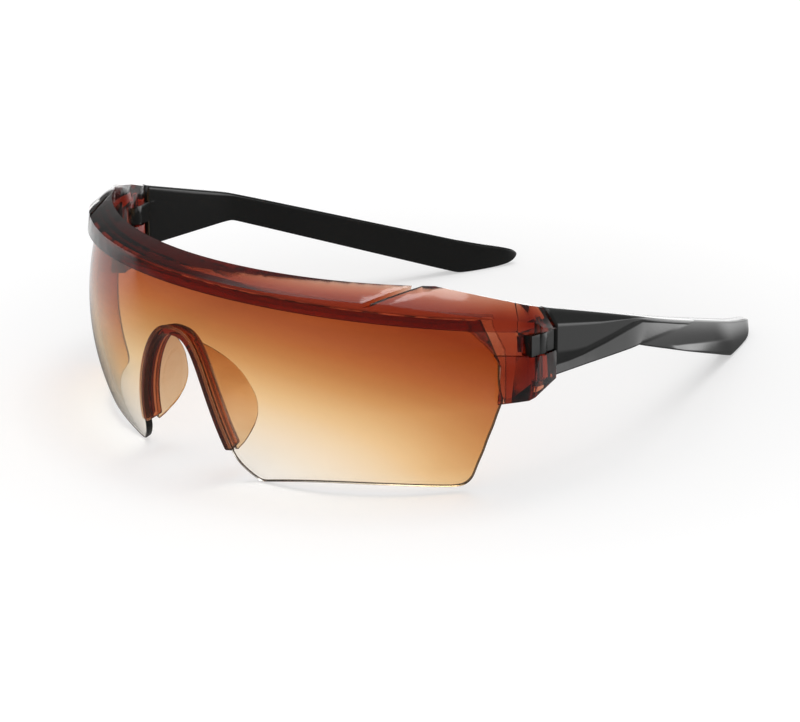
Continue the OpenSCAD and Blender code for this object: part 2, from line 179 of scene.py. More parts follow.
def smoothed(line, spacing, reach):
    # resamples a polyline at even steps of arc length, then averages each point with its neighbours by a
    # bell curve of the given reach, which rounds the corners; the two ends stay
    step = np.r_[0, np.cumsum(np.linalg.norm(np.diff(line, axis=0), axis=1))]
    n = max(8, int(step[-1] / spacing))
    s = np.linspace(0, step[-1], n)
    even = np.stack([np.interp(s, step, line[:, k]) for k in range(line.shape[1])], -1)
    half = int(3 * reach / (s[1] - s[0])) + 1
    w = np.exp(-0.5 * (np.arange(-half, half + 1) * (s[1] - s[0]) / reach) ** 2)
    w /= w.sum()
    ext = np.vstack([2 * even[0] - even[half:0:-1], even, 2 * even[-1] - even[-2:-half - 2:-1]])
    return np.stack([np.convolve(ext[:, k], w, "valid") for k in range(line.shape[1])], -1)


# camera at the photograph's viewing angle
photo = {
    "width": 800,   # pixels
    "place": (0.594485, -0.617089, 0.330480),   # metres
    "azimuth": 44.007, "elevation": 20.317, "roll": -0.263,   # degrees
    "focal": 3634.713,   # pixels
    "sensor": 36.0,   # millimetres across the frame's width
}


def makeCamera(p):
    turn, rise, roll = (math.radians(p[k]) for k in ("azimuth", "elevation", "roll"))
    back = Vector((math.sin(turn) * math.cos(rise), -math.cos(turn) * math.cos(rise), math.sin(rise)))
    level = Vector((math.cos(turn), math.sin(turn), 0))
    upright = back.cross(level)
    right = level * math.cos(roll) + upright * math.sin(roll)
    up = upright * math.cos(roll) - level * math.sin(roll)
    data = bpy.data.cameras.new("photoCamera")
    data.sensor_fit = "HORIZONTAL"
    data.sensor_width = p["sensor"]
    data.lens = p["focal"] * p["sensor"] / p["width"]
    data.clip_start, data.clip_end = 0.01, 20
    cam = bpy.data.objects.new("photoCamera", data)
    bpy.context.scene.collection.objects.link(cam)
    tip = Matrix.Rotation(math.radians(-rest["tip"]), 3, "X")   # the camera tips with the glasses
    m = Matrix([tip @ v for v in (right, up, back)]).transposed().to_4x4()
    m.translation = Vector(p["place"])
    cam.matrix_world = m
    bpy.context.scene.camera = cam


makeCamera(photo)
bpy.context.scene.view_settings.view_transform = "Standard"
print("stage: camera")


def seeThrough(tree, bsdf, shadowTint, dye=None):
    # light from the lamps passes through clear plastic as through a filter, so the floor behind isn't black.
    # The dye is a loss per metre of red, green and blue on the way through.
    path = addNode(tree, "ShaderNodeLightPath")
    part = addNode(tree, "ShaderNodeGamma", {"Gamma": 0.35}, {"Color": shadowTint})   # each face takes a part
    film = addNode(tree, "ShaderNodeBsdfTransparent", links={"Color": part.outputs[0]})
    mix = addNode(tree, "ShaderNodeMixShader",
                  links={0: path.outputs["Is Shadow Ray"], 1: bsdf.outputs[0], 2: film.outputs[0]})
    out = addNode(tree, "ShaderNodeOutputMaterial", links={"Surface": mix.outputs[0]})
    if dye:   # absorption = (1 - colour) * density
        most = max(dye) * 1.05
        fog = addNode(tree, "ShaderNodeVolumeAbsorption",
                      {"Color": tuple(1 - d / most for d in dye) + (1.0,), "Density": most})
        tree.links.new(fog.outputs[0], out.inputs["Volume"])


# Polycarbonate, moulded and polished, dyed by dipping: deep orange-brown at the brow, clear at the lower
# edge.
lensDye = {
    "rough": 0.02, "ior": 1.46,
    "lean": 0.49,   # the dye's level lines lean: the tint follows height plus this share of the depth
    "clear": -0.0345, "full": 0.0150,   # metres on that scale
    # toward the sides the dye reaches a little lower: from and to these heights and depths in metres
    "sideHigh": 0.022, "sideLow": 0.007, "sideFront": -0.076, "sideBack": -0.052, "sideMore": 0.14,
    # tint for light that goes in and out again, from the lower edge to the brow
    "tint": [(0.0, "#fffcf6"), (0.08, "#fff9ee"), (0.16, "#fef3e0"), (0.245, "#fdebcf"), (0.33, "#fae0b8"),
             (0.41, "#f5d09c"), (0.49, "#e9ba80"), (0.57, "#d99f63"), (0.65, "#c8844b"), (0.735, "#bb6b39"),
             (0.82, "#ac572c"), (0.9, "#9f491c"), (1.0, "#90350c")],
}


def lensPlastic():
    m, t = newMaterial("gradientDyedPolycarbonate")
    k = lensDye
    place = placeOf(t)
    axis = axesOf(t, place)
    level = between(t, reachAlong(t, place, (0, k["lean"], 1.0)), k["clear"], k["full"])
    low = between(t, axis["Z"], k["sideHigh"], k["sideLow"])
    sideways = between(t, axis["Y"], k["sideFront"], k["sideBack"], 0.0, k["sideMore"])
    ramp = addNode(t, "ShaderNodeValToRGB", links={"Fac": calculate(t, "MULTIPLY_ADD", low, sideways, level)})
    fillRamp(ramp, k["tint"])
    b = addNode(t, "ShaderNodeBsdfPrincipled",
                {"Roughness": k["rough"], "IOR": k["ior"], "Transmission Weight": 1.0},
                {"Base Color": ramp.outputs["Color"]})
    seeThrough(t, b, ramp.outputs["Color"])
    return m


# The cut edge of the lens: the same plastic, but seen along the sheet, so it looks dark and slightly satin.
lensCut = {"tint": "#4a3c30", "cloud": "#2e2620", "marks": 500.0, "rough": 0.2, "clear": 0.8}


def lensEdgePlastic():
    m, t = newMaterial("cutPolycarbonateEdge")
    k = lensCut
    place = placeOf(t)
    marks = speckle(t, place, k["marks"], 2.0)
    tint = blendTint(t, marks, k["tint"], k["cloud"])
    b = addNode(t, "ShaderNodeBsdfPrincipled",
                {"Roughness": k["rough"], "IOR": lensDye["ior"], "Transmission Weight": k["clear"]},
                {"Base Color": tint, "Normal": ripple(t, marks, 0.1, 0.0001)})
    seeThrough(t, b, tint)
    return m


# Transparent nylon, moulded, with faint flow streaks along the brow: red-brown where it is thin, nearly
# black where light has far to go.
browNylon = {
    "tint": "#f2dccf", "streak": "#dcb09a",
    "flow": (30, 60, 220),   # streaks per metre across, in depth and up
    "dye": (210, 580, 800), "rough": 0.09, "ior": 1.5,
}


def framePlastic():
    m, t = newMaterial("redBrownTransparentNylon")
    k = browNylon
    place = placeOf(t)
    stretch = addNode(t, "ShaderNodeMapping", {"Scale": k["flow"]}, {"Vector": place}).outputs[0]
    tint = blendTint(t, speckle(t, stretch, 1.0, 3.0), k["tint"], k["streak"])
    b = addNode(t, "ShaderNodeBsdfPrincipled",
                {"Roughness": k["rough"], "IOR": k["ior"], "Transmission Weight": 1.0}, {"Base Color": tint})
    seeThrough(t, b, tint, k["dye"])
    return m


# Soft PVC of the nose piece: the same brown, but paler and a little cloudy, browner toward the bridge, with a
# satin skin. The channel takes more of the dye than the thin pads do.
nosePvc = {
    "pale": "#f6ecd9", "brown": "#e2bf9e", "low": 0.008, "high": 0.03,   # metres, from pale to brown
    "clouds": 240.0, "uneven": 0.3, "ior": 1.45, "clear": 0.97,
    "padDye": (140, 330, 560), "padRough": 0.1, "channelDye": (250, 740, 1080), "channelRough": 0.16,
}


def nosePlastic(name, dye, rough):
    m, t = newMaterial(name)
    k = nosePvc
    place = placeOf(t)
    axis = axesOf(t, place)
    uneven = calculate(t, "MULTIPLY_ADD", speckle(t, place, k["clouds"], 2.0), k["uneven"], -k["uneven"] / 2)
    share = calculate(t, "ADD", between(t, axis["Z"], k["low"], k["high"]), uneven, clamp=True)
    tint = blendTint(t, share, k["pale"], k["brown"])
    b = addNode(t, "ShaderNodeBsdfPrincipled",
                {"Roughness": rough, "IOR": k["ior"], "Transmission Weight": k["clear"]}, {"Base Color": tint})
    seeThrough(t, b, tint, dye)
    return m


# Near-black nylon, moulded and glossy, with the slight orange peel of a moulded face.
templeNylon = {"black": "#151615", "lift": "#1e1f1e", "clouds": 45.0, "peel": 900.0,
               "rough": 0.12, "ior": 1.48}


def templePlastic():
    m, t = newMaterial("glossBlackNylon")
    k = templeNylon
    place = placeOf(t)
    tint = blendTint(t, speckle(t, place, k["clouds"], 1.0), k["black"], k["lift"])
    b = addNode(t, "ShaderNodeBsdfPrincipled", {"Roughness": k["rough"], "IOR": k["ior"]},
                {"Base Color": tint, "Normal": ripple(t, speckle(t, place, k["peel"], 2.0), 0.04, 0.0002)})
    addNode(t, "ShaderNodeOutputMaterial", links={"Surface": b.outputs[0]})
    return m


# Turned steel of the hinge screws, with fine marks left by the lathe.
screwMetal = {"steel": "#b4b1ac", "rough": 0.28, "marks": 4000.0}


def screwSteel():
    m, t = newMaterial("turnedSteel")
    k = screwMetal
    b = addNode(t, "ShaderNodeBsdfPrincipled",
                {"Base Color": linear(k["steel"]), "Metallic": 1.0, "Roughness": k["rough"]},
                {"Normal": ripple(t, speckle(t, placeOf(t), k["marks"], 1.0), 0.1, 0.0001)})
    addNode(t, "ShaderNodeOutputMaterial", links={"Surface": b.outputs[0]})
    return m


finish = {"lens": lensPlastic(), "lensEdge": lensEdgePlastic(), "frame": framePlastic(),
          "nose": nosePlastic("satinTranslucentPvc", nosePvc["padDye"], nosePvc["padRough"]),
          "channel": nosePlastic("deepBrownPvc", nosePvc["channelDye"], nosePvc["channelRough"]),
          "temple": templePlastic(), "screw": screwSteel()}
nodeFinish = {"brow_frame": "frame", "shield_lens": "lens", "nose_piece": "nose", "temple_left": "temple",
              "temple_right": "temple", "hinge_screw_left": "screw", "hinge_screw_right": "screw"}
for name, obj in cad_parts.items():
    obj.data.materials.clear()
    obj.data.materials.append(finish[nodeFinish[name]])
print("stage: materials")

# shield lens
lens = {
    "across": 76.995, "down": 64.0, "lean": 8.0, "frontZ": 34.3, "thick": 1.8,   # mm, degrees
    "top": 12.7,   # height on the lens's own axis that the brow hides
    "notchTop": 33.7, "notchHalf": 16.2, "notchPower": 0.37, "flare": 4.0, "flareHigh": 7.0,
    "low": -1.733, "heel": 1.3, "arch": 2.1, "footHalf": 60.6,
    # side edge in the 45 degree corner view, as (way out, height)
    "side": [(67.87, 0.07), (69.11, 1.2), (70.0, 2.58), (72.3, 9.4), (74.6, 16.2), (76.66, 22.2), (76.6, 23.2),
             (76.0, 24.6), (75.9, 32.0), (73.4, 37.8), (71.2, 42.3)],
    "sideRange": (40.0, 74.0),   # the side's own x is looked for between these
    "spacing": 0.45, "soften": 0.9,   # step between outline points, and reach of the rounding of its corners
    "footX": 58.0, "topFootX": 57.0, "topEndX": 62.4,   # the foot, and the top line above it and at its end
    "round": 0.4,   # radius of the polished edge
}
lean = math.radians(lens["lean"])


def lensFace(x, z, off=0.0):
    # the front face is an arc of radius "down", revolved with radius "across" round a leaning axis. The
    # height h on that axis is found by stepping h = (z - frontZ) / cos + sag tan, and off moves the point
    # out along the surface's normal
    c, s = math.cos(lean), math.sin(lean)
    across, down = lens["across"], lens["down"]

    def arcAt(h):
        radius = across - down + np.sqrt(down * down - h * h)
        return radius, across - np.sqrt(radius * radius - x * x)
    h = np.zeros_like(x)
    for _ in range(8):
        h = (z - lens["frontZ"]) / c + arcAt(h)[1] * s / c
    radius, sag = arcAt(h)
    up = h / down
    out = np.sqrt(1 - up * up)
    nx, ns = out * x / radius, out * (sag - across) / radius
    p = np.stack([x, sag * c + h * s, lens["frontZ"] + h * c - sag * s], -1)
    n = np.stack([nx, ns * c + up * s, up * c - ns * s], -1)
    return p + np.asarray(off)[..., None] * n


def cornerX(s, z):
    # the x at which a place on the front face lies a way s out in the corner view, by halving
    a, b = (np.full_like(s, k) for k in lens["sideRange"])
    for _ in range(40):
        m = (a + b) / 2
        beyond = (m + lensFace(m, z)[..., 1]) * math.sqrt(0.5) > s
        a, b = np.where(beyond, a, m), np.where(beyond, m, b)
    return (a + b) / 2


def notchX(z):
    # half width: a power of the way down from the flat top, plus the rounded flare at the foot
    t = np.clip((lens["notchTop"] - z) / (lens["notchTop"] - lens["low"]), 0, None)
    f = np.clip(1 - (z - lens["low"]) / lens["flareHigh"], 0, None)
    return lens["notchHalf"] * t ** lens["notchPower"] + lens["flare"] * f ** 2


def lensOutline():
    # half outline in the front view: notch, arched lower edge, rounded corner and side
    f = np.linspace(0, 1, 120)
    z = lens["notchTop"] - (lens["notchTop"] - lens["low"]) * f ** 2
    notch = np.stack([notchX(z), z], -1)
    heelX = lens["notchHalf"] + lens["flare"]
    t = np.linspace(0, 1, 60)[1:-3]
    lobe = np.stack([heelX + (lens["footHalf"] - heelX) * t,
                     lens["low"] + lens["heel"] * t + lens["arch"] * 4 * t * (1 - t)], -1)
    side = np.array(lens["side"])
    side = np.stack([cornerX(side[:, 0], side[:, 1]), side[:, 1]], -1)
    return smoothed(np.vstack([notch[1:], lobe, side]), lens["spacing"], lens["soften"])


def buildLens():
    half = lensOutline()
    x, z = half[:, 0], half[:, 1]
    # the top line that the brow hides: above each outline point, and drawn together past the foot
    n, foot = len(x), int(np.argmax(x > lens["footX"]))
    topX = x * lens["topFootX"] / lens["footX"]
    topX[foot:] = np.linspace(topX[foot - 1] + 0.3, lens["topEndX"], n - foot)
    across, down = lens["across"], lens["down"]
    radius = across - down + math.sqrt(down * down - lens["top"] ** 2)
    topZ = lens["frontZ"] + lens["top"] * math.cos(lean) \
        - (across - np.sqrt(radius ** 2 - topX ** 2)) * math.sin(lean)
    edge = np.vstack([np.stack([-x, z], -1)[::-1], half])
    top = np.vstack([np.stack([-topX, topZ], -1)[::-1], np.stack([topX, topZ], -1)])
    tangent = np.gradient(edge, axis=0)
    tangent /= np.linalg.norm(tangent, axis=1)[:, None]
    into = np.stack([-tangent[:, 1], tangent[:, 0]], -1)
    # the profile runs from the front's top, round the polished edge, to the back's top
    a = np.linspace(0, math.pi / 2, 6)
    k, thick = lens["round"], lens["thick"]
    inset = np.r_[k * (1 - np.sin(a)), k * (1 - np.sin(a[::-1]))]
    depth = np.r_[k * (1 - np.cos(a)), thick - k * (1 - np.cos(a[::-1]))]
    v = np.linspace(0, 1, 46)[1:] ** 1.15
    flat = edge[:, None] + into[:, None] * inset[None, :, None]
    face = edge[:, None] + into[:, None] * (k * (1 - v))[None, :, None] \
        + (top - edge)[:, None] * v[None, :, None]
    q = np.concatenate([face[:, ::-1], flat, face], 1)
    d = np.r_[np.zeros(len(v)), depth, np.full(len(v), thick)]
    pts = lensFace(q[..., 0], q[..., 1], -np.broadcast_to(d, q.shape[:2]))
    shield = gridPiece("gradientShield", toWorld(pts), "frame", finish["lens"],
                       ("shield_lens",))
    # the faces round the edge, between the columns of the two flat sides, are the cut edge
    shield.data.materials.append(finish["lensEdge"])
    cut = np.zeros(len(shield.data.polygons), dtype=np.int32)
    cut[:(len(pts) - 1) * pts.shape[1]].reshape(len(pts) - 1, -1)[:, len(v) + 2:len(v) + 9] = 1
    shield.data.polygons.foreach_set("material_index", cut)


buildLens()
print("stage: shield lens")

# nose piece: a channel round the notch's edge, and a leaf pad behind each side
nose = {
    "low": 6.0, "lip": 0.8, "thick": 1.3, "proud": 0.5, "deep": 4.2,   # mm
    "clear": 0.05, "lap": 0.06,   # gap at the lens's edge, and at its front and back
    "round": 0.28, "lipRound": 0.2,   # radii of the channel's edges
    "padThick": 0.95, "padDeep": 14.3, "padRoot": 3.3, "padIn": 0.775, "padFlare": 0.02, "padFlareFrom": 4.5,
    # rim of a leaf pad, as (share of its depth, share of the notch's height)
    "leaf": [(0.22, 0.955), (0.32, 0.93), (0.48, 0.875), (0.64, 0.81), (0.79, 0.735), (0.9, 0.655),
             (0.97, 0.563), (1, 0.49), (0.98, 0.428), (0.91, 0.362), (0.77, 0.3), (0.6, 0.25), (0.43, 0.208),
             (0.26, 0.18)],
    "rimRound": 0.5,   # the pads' rims are rounded over this width
    # embossed oval on the inner face of each pad: a ridge round a slightly raised middle
    "ovalDepth": 8.8, "ovalHeight": 17.0, "ovalHalfDepth": 3.1, "ovalHalfHeight": 7.6, "relief": 0.13,
    "ridge": 0.12, "filled": 0.6, "slope": 0.2,   # widths as shares of the oval; height as a share of relief
}


def notchEdge(f, d):
    # a point on the notch's edge, f from -1 over the top to 1, moved into the opening by d
    def at(g):
        z = lens["notchTop"] - (lens["notchTop"] - lens["low"]) * g * g
        return np.stack([np.sign(g) * notchX(z), z], -1)
    t = at(f + 0.02) - at(f - 0.02)
    t /= np.linalg.norm(t, axis=-1)[..., None]
    return at(f) + d[..., None] * np.stack([t[..., 1], -t[..., 0]], -1)


def buildNoseChannel():
    n = nose
    span = math.sqrt((lens["notchTop"] - n["low"]) / (lens["notchTop"] - lens["low"]))
    f = np.linspace(-span, span, 240)
    a = np.linspace(0, math.pi / 2, 4)

    def corner(d, w, r, turn):
        # a quarter round of radius r at a corner of the section
        return [(d + r * math.cos(turn + i), w + r * math.sin(turn + i)) for i in a]
    lip, thick, front, back = -n["lip"], n["thick"], -n["proud"], n["deep"]
    r, lipRound, behind = n["round"], n["lipRound"], lens["thick"] + n["lap"]
    # the section is a U: (distance into the opening, depth behind the lens's front)
    u = [(n["clear"], behind), (n["clear"], -n["lap"]), (lip, -n["lap"])]
    u += corner(lip + lipRound, front + lipRound, lipRound, math.pi)
    u += corner(thick - r, front + r, r, 1.5 * math.pi) + corner(thick - r, back - r, r, 0)
    u += corner(lip + r, back - r, r, 0.5 * math.pi) + [(lip, behind)]
    u = np.array(u)
    mid = u.mean(0)
    # the last half millimetre of each end is rounded off by drawing the section in
    ends = np.clip((span - np.abs(f)) / 0.012, 0, 1)
    ends = 0.25 + 0.75 * np.sqrt(1 - (1 - ends) ** 2)
    sec = mid + (u - mid)[None] * ends[:, None, None]
    p = notchEdge(np.broadcast_to(f[:, None], sec.shape[:2]), sec[..., 0])
    gridPiece("noseChannel", toWorld(lensFace(p[..., 0], p[..., 1], -sec[..., 1])), "frame",
              finish["channel"], ("nose_piece",))


def buildLeafPads():
    # each pad is a grid of heights by depths, from its root to its rim, with an outer and an inner face
    n = nose
    leaf = smoothed(np.array(n["leaf"]) * (n["padDeep"], lens["notchTop"]), 0.15, 0.7)
    z, rim = leaf[:, 1], leaf[:, 0]
    g = np.sqrt((lens["notchTop"] - z) / (lens["notchTop"] - lens["low"]))
    front = lensFace(notchX(z), z)[:, 1]
    t = np.r_[np.linspace(0, 0.9, 40), np.linspace(0.91, 1, 12)]
    depth = n["padRoot"] + np.maximum(rim - n["padRoot"], 0.02)[:, None] * t
    left = np.clip((rim[:, None] - depth) / n["rimRound"], 0, 1)
    halfThick = n["padThick"] / 2 * np.sqrt(1 - (1 - left) ** 2)
    rho = np.sqrt(((depth - n["ovalDepth"]) / n["ovalHalfDepth"]) ** 2
                  + ((z[:, None] - n["ovalHeight"]) / n["ovalHalfHeight"]) ** 2)
    raised = n["relief"] * np.exp(-((rho - 1) / n["ridge"]) ** 2) \
        + n["filled"] * n["relief"] * (rho < 1) * np.clip((1 - rho) / n["slope"], 0, 1)
    middle = n["padIn"] - np.clip(depth - n["padFlareFrom"], 0, None) * n["padFlare"]
    for side, name in ((1, "leafPadLeft"), (-1, "leafPadRight")):
        faces = []
        for sign, extra in ((-1, 0.0), (1, raised)):
            d = middle + sign * halfThick + extra
            q = notchEdge(side * np.broadcast_to(g[:, None], d.shape), d)
            faces.append(np.stack([q[..., 0], front[:, None] + depth, q[..., 1]], -1))
        loop = np.concatenate([faces[0], faces[1][:, -2::-1]], 1)
        gridPiece(name, toWorld(loop), "frame", finish["nose"])


buildNoseChannel()
buildLeafPads()
print("stage: nose piece")

# brow frame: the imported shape, with its edges rounded as a polished moulding's are
brow = {
    "edge": 0.22, "steps": 3, "sharp": 12.0,   # mm, count, and the least angle in degrees that is rounded
    "merge": 2e-6, "flat": 0.4,   # metres between points that are one, and degrees between faces that are one
}


def buildBrow():
    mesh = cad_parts["brow_frame"].data.copy()
    bm = bmesh.new()
    bm.from_mesh(mesh)
    bmesh.ops.remove_doubles(bm, verts=bm.verts, dist=brow["merge"])
    bmesh.ops.dissolve_limit(bm, angle_limit=math.radians(brow["flat"]), verts=bm.verts, edges=bm.edges)
    bm.to_mesh(mesh)
    bm.free()
    mesh.shade_smooth()
    obj = dressPiece("polishedBrow", mesh, "frame", finish["frame"], ("brow_frame",))
    bevel = obj.modifiers.new("polishedEdges", "BEVEL")
    bevel.width = brow["edge"] * mm
    bevel.segments = brow["steps"]
    bevel.limit_method = "ANGLE"
    bevel.angle_limit = math.radians(brow["sharp"])
    bevel.harden_normals = True


buildBrow()
print("stage: brow frame")

# temples
temple = {
    "halfWidth": 72.5, "hingeX": 69.4, "hingeY": 49.5062, "shoulderY": 53.6062, "tipY": 164.5,
    "neckBack": 34.7, "bow": 0.4, "bendStart": 0.86, "bendSoft": 0.35, "frontThick": 5.6, "thick": 4.0,
    "edge": 0.45, "tipNarrow": 5.0,   # radius of the long edges, and the length in which the tip narrows
    "sections": 260, "tipSections": 30, "tipCrowd": 6,   # how many, with the last in the tip's 6 mm
    "tipZ": (2.87, 2.93),   # lower and upper height at the very tip
    "faces": (4, 5, 14, 8, 12, 6),   # on the strips between the marks, from the bottom line up
    # how deep the forms on the outer side go: in steps, by slopes, and as shares of the thickness
    "step": 0.5, "bandDeep": 2.2, "belowDeep": 1.5, "behindDeep": 2.0, "streakLean": 1.6,
    "lean": 0.06, "leanMost": 2.1, "tipLean": 0.2, "tipLeanMost": 1.9, "tipFlat": 0.6,
    "bevelWide": 1.17, "bevelMost": 0.6, "slantAbove": 0.35, "slantSoft": 0.5,
    # lines on the outer side as (depth, height) in mm
    "top": [(53.61, 42.04), (61, 39.77), (70, 37.0), (79, 34.24), (84.2, 32.64), (92, 29.76), (102, 26.07),
            (147.3, 9.4), (155, 6.9), (161.0, 5.15), (163.6, 4.15), (164.5, 2.9)],
    "bottom": [(53.61, 26.04), (65, 25.78), (76, 25.52), (84.2, 25.34), (92, 22.2), (102, 18.18), (141, 2.6),
               (147.3, 0.15), (151, 0.0), (155.0, 0.1), (158.4, 0.3), (161.7, 0.85), (163.9, 1.9),
               (164.5, 2.9)],
    "bevel": [(53.6, 38.7), (69, 35.3), (80.5, 33.2), (84.2, 32.2), (95, 28.2), (164, 3.6)],
    "bandTop": [(53.6, 31.9), (60.2, 30.7), (64.1, 30.4), (72.3, 31.3), (80.5, 32.4), (84.2, 31.9),
                (95, 28.0), (164, 3.4)],
    "bandLow": [(53.6, 28.3), (58.8, 28.05), (64.1, 28.2), (72.3, 29.0), (80.6, 30.2), (86.5, 30.6),
                (95, 27.7), (164, 3.2)],
    # rear of the raised part
    "slant": [(84.2, 25.4), (93.1, 24.2), (102.4, 22.5), (115.2, 20.3), (120, 19.5)],
    "streak": [(84.2, 25.9), (100, 20.2), (108.1, 16.9), (124.1, 11.9), (142.6, 6.2), (155, 3.2), (164, 3.0)],
    # depths between which a form comes or goes
    "facetTurns": (82, 89), "raisedEnds": (117, 119), "bevelEnds": (84, 90), "streakComes": (100, 116),
    "tipTurns": (134, 148),
}


def inward(y):
    # the temple runs inward behind the bend: slope times a soft ramp, sqrt(d^2 + s^2) - s
    d = np.maximum(0, y - temple["hingeY"] - temple["neckBack"] * temple["bendStart"])
    s = temple["neckBack"] * temple["bendSoft"]
    return temple["bow"] * (np.sqrt(d * d + s * s) - s)


def easeIn(v, start=0.0, end=1.0):
    t = np.clip((v - start) / (end - start), 0, 1)
    return t * t * (3 - 2 * t)


def buildTemple(side, name, body, node):
    # sections across the temple, one for each depth y: each is a loop up the outer face from the bottom line
    # to the top line, through the marks between them, and down the inner face, with its corners rounded
    k = temple
    y0, y1, neck, crowd = k["shoulderY"], k["tipY"], k["hingeY"] + k["neckBack"], k["tipCrowd"]
    y = np.r_[y0 + (y1 - y0 - crowd) * np.linspace(0, 1, k["sections"]),
              y1 - crowd + crowd * np.sin(np.linspace(0.03, 1, k["tipSections"]) * math.pi / 2)]
    top, bottom = smoothed(np.array(k["top"]), 0.3, 1.2), smoothed(np.array(k["bottom"]), 0.3, 0.8)
    zt, zb = np.interp(y, top[:, 0], top[:, 1]), np.interp(y, bottom[:, 0], bottom[:, 1])
    zb[-1], zt[-1] = k["tipZ"]
    tall = zt - zb
    thick = k["thick"] + (k["frontThick"] - k["thick"]) * np.clip((neck - y) / (neck - y0), 0, 1)
    outer = k["halfWidth"] - inward(y)
    inner = outer - thick
    ends = np.sqrt(1 - (1 - np.clip((y1 - y) / k["tipNarrow"], 0, 1)) ** 2)

    def mark(key, gap):
        # the height of a line at each depth, kept off the two edges by a share of the height between them
        p = np.array(k[key])
        return np.clip(np.interp(y, p[:, 0], p[:, 1]), zb + gap * tall, zt - gap * tall)
    zs = mark("streak", 0.1)
    zl = np.maximum(mark("bandLow", 0.12), zs + 0.02 * tall)
    zu = np.maximum(mark("bandTop", 0.1), zl + 0.02 * tall)
    zv = np.maximum(mark("bevel", 0.06), zu + 0.02 * tall)
    marks = [zb, (zb + zs) / 2, zs, zl, zu, zv, zt]
    rows = [a[:, None] + (b - a)[:, None] * np.linspace(0, 1, count + 1)[None, :-1]
            for a, b, count in zip(marks[:-1], marks[1:], k["faces"])]
    z = np.concatenate(rows + [zt[:, None]], 1)
    yy = np.broadcast_to(y[:, None], z.shape)
    zb, zs, zl, zu, zv, zt, tall = (a[:, None] for a in (zb, zs, zl, zu, zv, zt, tall))
    # how far the outer face is set in. The front face is flush, the curved band goes in by two steps, and
    # the facet under it leans out again toward the bottom. Behind the slanted edge the face is two steps in.
    band = np.clip((zu - z) / np.maximum(zu - zl, 0.05), 0, 1)
    below = np.clip((zl - z) / np.maximum(zl - zb, 0.3), 0, 1)
    leaning = np.clip(k["lean"] * (zl - z), 0, k["leanMost"] * k["step"])
    slant = np.interp(y, *np.array(k["slant"]).T)[:, None]
    behind = easeIn(slant + k["slantAbove"] - z, 0, k["slantSoft"]) + easeIn(yy, *k["raisedEnds"])
    behind = np.where(yy > neck - 0.2, np.clip(behind, 0, 1), 0)
    fade = easeIn(yy, *k["facetTurns"])
    raised = k["step"] * (k["bandDeep"] * band - k["belowDeep"] * below * (1 - fade)) - leaning * fade
    inset = raised * (1 - behind) + k["behindDeep"] * k["step"] * behind
    # the bevel along the top leans in, the facet under the streak leans out, and so does the face of the tip
    bevelFrom, bevelTo = k["bevelEnds"]
    bevelLeft = np.clip((bevelTo - yy) / (bevelTo - bevelFrom), 0, 1)
    inset = inset + np.minimum(np.clip((z - zv) / k["bevelWide"], 0, None) * bevelLeft,
                               k["bevelMost"] * thick[:, None])
    tip = easeIn(yy, *k["tipTurns"])
    streak = k["streakLean"] * k["step"] * np.clip((zs - z) / np.maximum(zs - zb, 0.2), 0, 1) \
        * easeIn(yy, *k["streakComes"])
    tipOut = np.clip(k["tipLean"] * (zt - k["tipFlat"] - z), 0, k["tipLeanMost"] * k["step"])
    inset = inset - streak * (1 - tip) - tip * tipOut

    def rounding(h):
        near = np.clip(1 - np.minimum(zt - h, h - zb) / k["edge"], 0, 1)
        return k["edge"] * (1 - np.sqrt(1 - near ** 2))
    middle = (outer + inner - 2 * k["step"])[:, None] / 2
    xo = middle + (outer[:, None] - inset - rounding(z) - middle) * ends[:, None]
    v = np.r_[0, 0.02, 0.05, 0.1, np.linspace(0.2, 0.8, 7), 0.9, 0.95, 0.98, 1]
    zi = zt - tall * v
    xi = middle + (inner[:, None] + rounding(zi) - middle) * ends[:, None]
    p = np.concatenate([np.stack([xo, yy, z], -1),
                        np.stack([xi, np.broadcast_to(y[:, None], zi.shape), zi], -1)], 1)
    p[..., 0] *= side
    gridPiece(name, toWorld(p), body, finish["temple"], (node,))


# hinge tongue, moulded in one with the temple
tongue = {
    "low": 32.6, "high": 5.2, "disc": 2.9, "bore": 0.86,   # underside, height, radii round the axis in mm
    "lug": 4.0, "out": 2.6, "rootIn": 2.465, "rootEnd": 6.0,   # ahead, outward, inward and back from the axis
    "edge": 0.2,   # radius of the upper and lower edges
}


def buildTongue(side, name, body):
    # the tongue is drawn round the hinge axis: in each direction its outline is the farthest of a disc, the
    # lug on the outer side and the root, and the section goes from the bore out, up and back
    k = tongue
    a = np.linspace(0, 2 * math.pi, 240, endpoint=False) + 1e-4
    ca, sa = np.cos(a), np.sin(a)
    lugReach = np.where(ca > 0, np.minimum(k["out"] / np.maximum(ca, 1e-6),
                                           np.where(sa > 0, k["rootEnd"], k["lug"]) / np.abs(sa)), 0)
    rootReach = np.where(sa > 0, np.minimum(np.where(ca > 0, 1.0, k["rootIn"]) / np.abs(ca),
                                            k["rootEnd"] / np.abs(sa)), 0)
    reach = np.maximum(k["disc"], np.maximum(lugReach, rootReach))
    r, high = k["edge"], k["high"]
    q = np.linspace(0, math.pi / 2, 4)
    rad = [np.full_like(a, k["bore"])] + [reach - r + r * math.sin(i) for i in q] \
        + [reach - r + r * math.cos(i) for i in q] + [np.full_like(a, k["bore"])]
    hgt = [0.0] + [r - r * math.cos(i) for i in q] + [high - r + r * math.sin(i) for i in q] + [high]
    rad, hgt = np.stack(rad, 1), np.array(hgt)
    p = np.stack([temple["hingeX"] + rad * ca[:, None], temple["hingeY"] + rad * sa[:, None],
                  k["low"] + np.broadcast_to(hgt, rad.shape)], -1)
    p[..., 0] *= side
    obj = gridPiece(name, toWorld(p), body, finish["temple"], ring=True)
    obj.data.set_sharp_from_angle(angle=math.radians(40))


